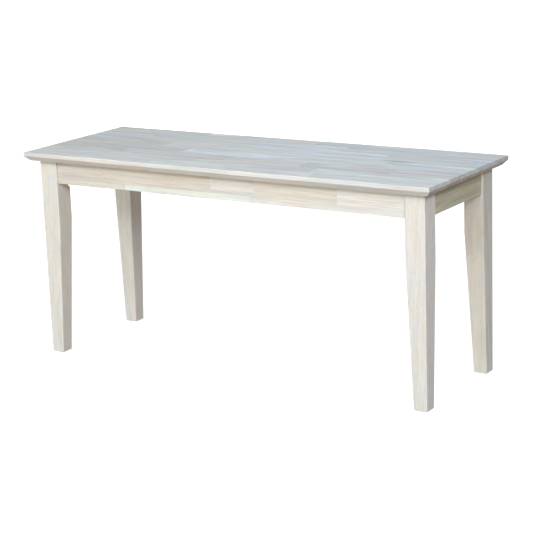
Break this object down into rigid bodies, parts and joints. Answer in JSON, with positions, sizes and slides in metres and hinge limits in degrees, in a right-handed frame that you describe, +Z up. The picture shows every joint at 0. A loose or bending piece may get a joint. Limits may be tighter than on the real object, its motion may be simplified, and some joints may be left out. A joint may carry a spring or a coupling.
{
  "type": "shaker bench",
  "caption": "Backless wooden bench with a glued-up bevel-edged seat, a plain apron and square legs tapered on their inner faces, held by corner blocks and hanger bolts.",
  "frame": {"origin": "on the floor, under the centre of the seat", "axes": "+X along the bench towards its right end as seen from the front, +Y from the front to the back, +Z up"},
  "size_m": [0.9906, 0.3556, 0.4572],
  "materials": {
    "seat_wood": "sanded, unfinished, finger-jointed rubberwood",
    "apron_wood": "sanded, unfinished, finger-jointed rubberwood",
    "leg_wood": "sanded, unfinished rubberwood with upright grain",
    "corner_block_wood": "sawn, unfinished rubberwood",
    "zinc_steel": "bright zinc plate"
  },
  "bodies": {
    "root": {"seat_stave_1": "seat_wood", "seat_stave_2": "seat_wood", "seat_stave_3": "seat_wood", "seat_stave_4": "seat_wood", "seat_stave_5": "seat_wood", "seat_stave_6": "seat_wood", "seat_stave_7": "seat_wood", "seat_stave_8": "seat_wood", "front_apron_upper_strip": "apron_wood", "front_apron_lower_strip": "apron_wood", "right_apron_upper_strip": "apron_wood", "right_apron_lower_strip": "apron_wood", "back_apron_upper_strip": "apron_wood", "back_apron_lower_strip": "apron_wood", "left_apron_upper_strip": "apron_wood", "left_apron_lower_strip": "apron_wood", "front_left_leg": "leg_wood", "front_right_leg": "leg_wood", "back_right_leg": "leg_wood", "back_left_leg": "leg_wood", "front_left_corner_block": "corner_block_wood", "front_right_corner_block": "corner_block_wood", "back_right_corner_block": "corner_block_wood", "back_left_corner_block": "corner_block_wood", "hanger_bolts": "zinc_steel", "hanger_bolt_washers": "zinc_steel", "hanger_bolt_nuts": "zinc_steel", "corner_block_apron_screws": "zinc_steel", "corner_block_seat_screws": "zinc_steel", "apron_pocket_screws": "zinc_steel"}
  },
  "joints": []
}
